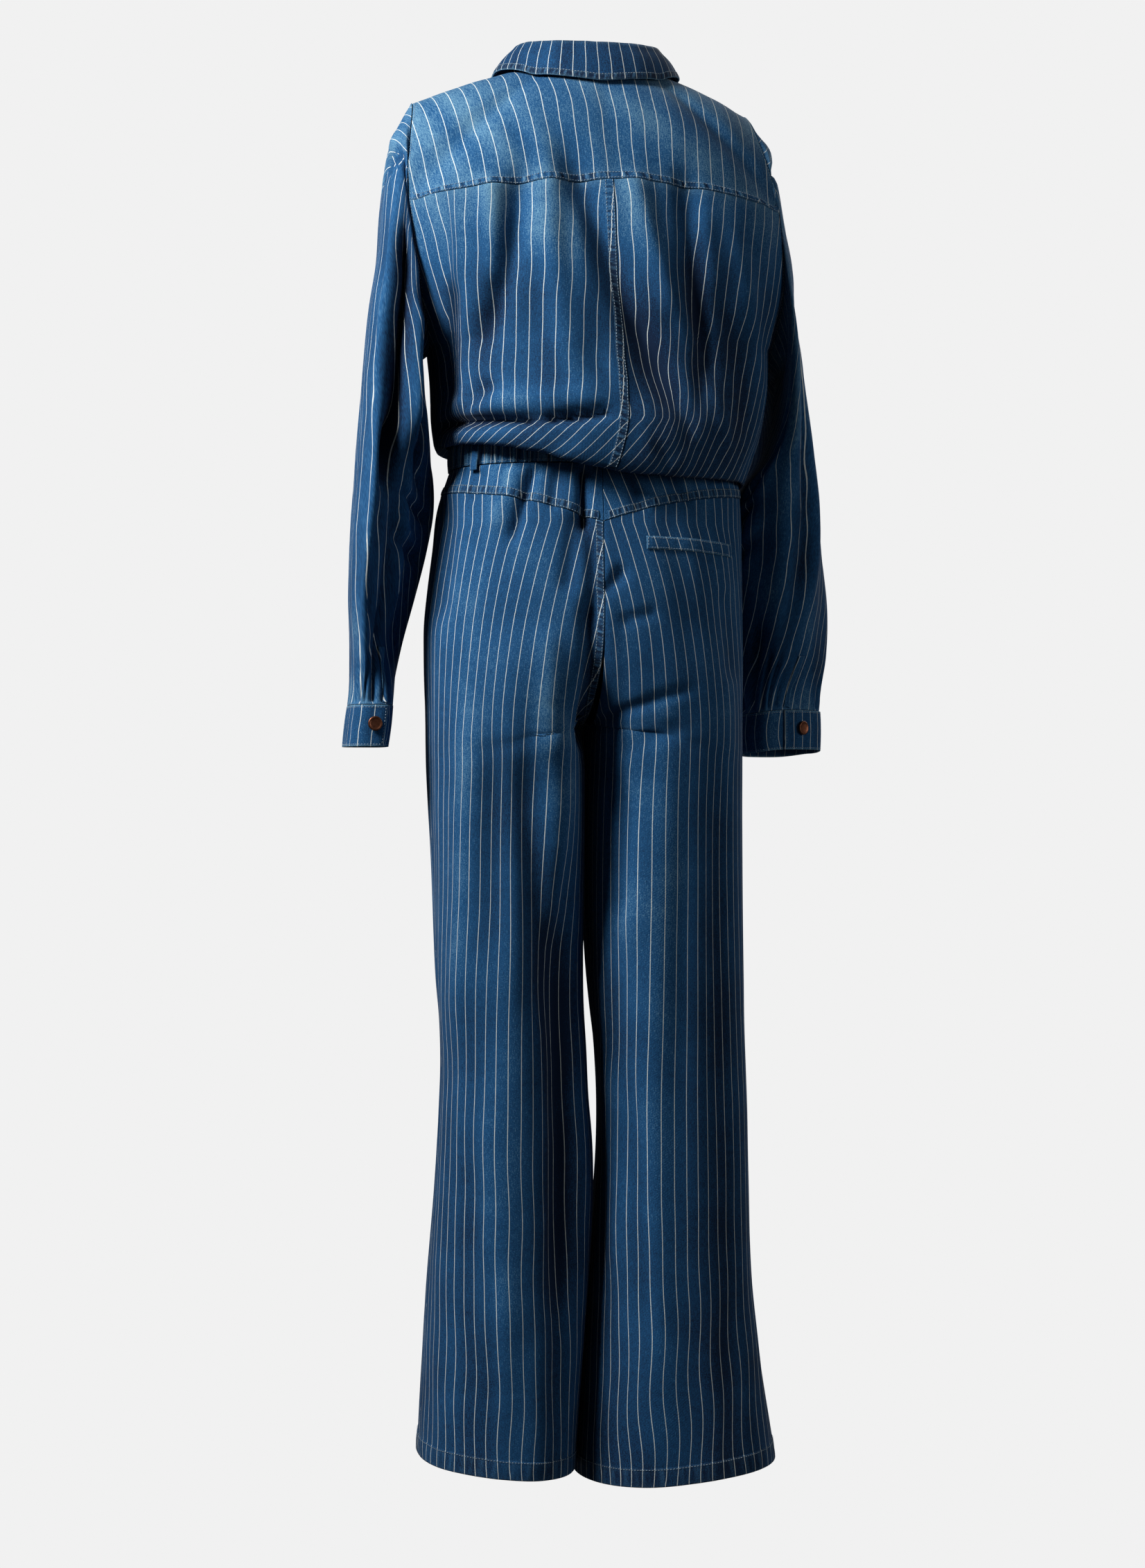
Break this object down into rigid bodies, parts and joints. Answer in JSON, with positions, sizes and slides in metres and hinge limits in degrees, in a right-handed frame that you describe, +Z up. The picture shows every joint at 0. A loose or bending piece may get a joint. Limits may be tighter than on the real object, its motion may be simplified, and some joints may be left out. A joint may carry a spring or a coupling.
{
  "type": "jumpsuit",
  "caption": "Long-sleeved, wide-leg denim jumpsuit with shirt collar, yoke, bloused back and elastic waist, in its worn hollow form.",
  "frame": {"origin": "base of the neck, between the shoulders, where the wearer holds the garment up", "axes": "+Z up, the garment's front faces -Y, the wearer's left is +X"},
  "size_m": [0.5191, 0.2943, 1.4714],
  "materials": {
    "denim": "mid-blue cotton twill with thin off-white stripes down the cloth",
    "denim_washed": "the same cloth, washed paler over the shoulders",
    "copper": "plain copper shank buttons, satin"
  },
  "bodies": {
    "root": {"back_yoke": "denim_washed", "collar": "denim", "waistband": "denim", "bodice_back_left": "denim", "bodice_back_right": "denim", "bodice_front_left": "denim", "bodice_front_right": "denim", "sleeve_left": "denim", "sleeve_right": "denim", "sleeve_slit_left": "denim", "sleeve_slit_right": "denim", "cuff_left": "denim", "cuff_right": "denim", "hip_yoke_left": "denim", "hip_yoke_right": "denim", "trouser_back_left": "denim", "trouser_back_right": "denim", "trouser_front_left": "denim", "trouser_front_right": "denim", "back_pocket_welt": "denim", "front_band": "denim", "fly_band": "denim", "belt_loop_1": "denim", "belt_loop_2": "denim", "belt_loop_3": "denim", "belt_loop_4": "denim", "cuff_button_left": "copper", "cuff_button_right": "copper", "front_button_1": "copper", "front_button_2": "copper", "front_button_3": "copper", "front_button_4": "copper", "front_button_5": "copper", "waist_button": "copper"}
  },
  "joints": []
}
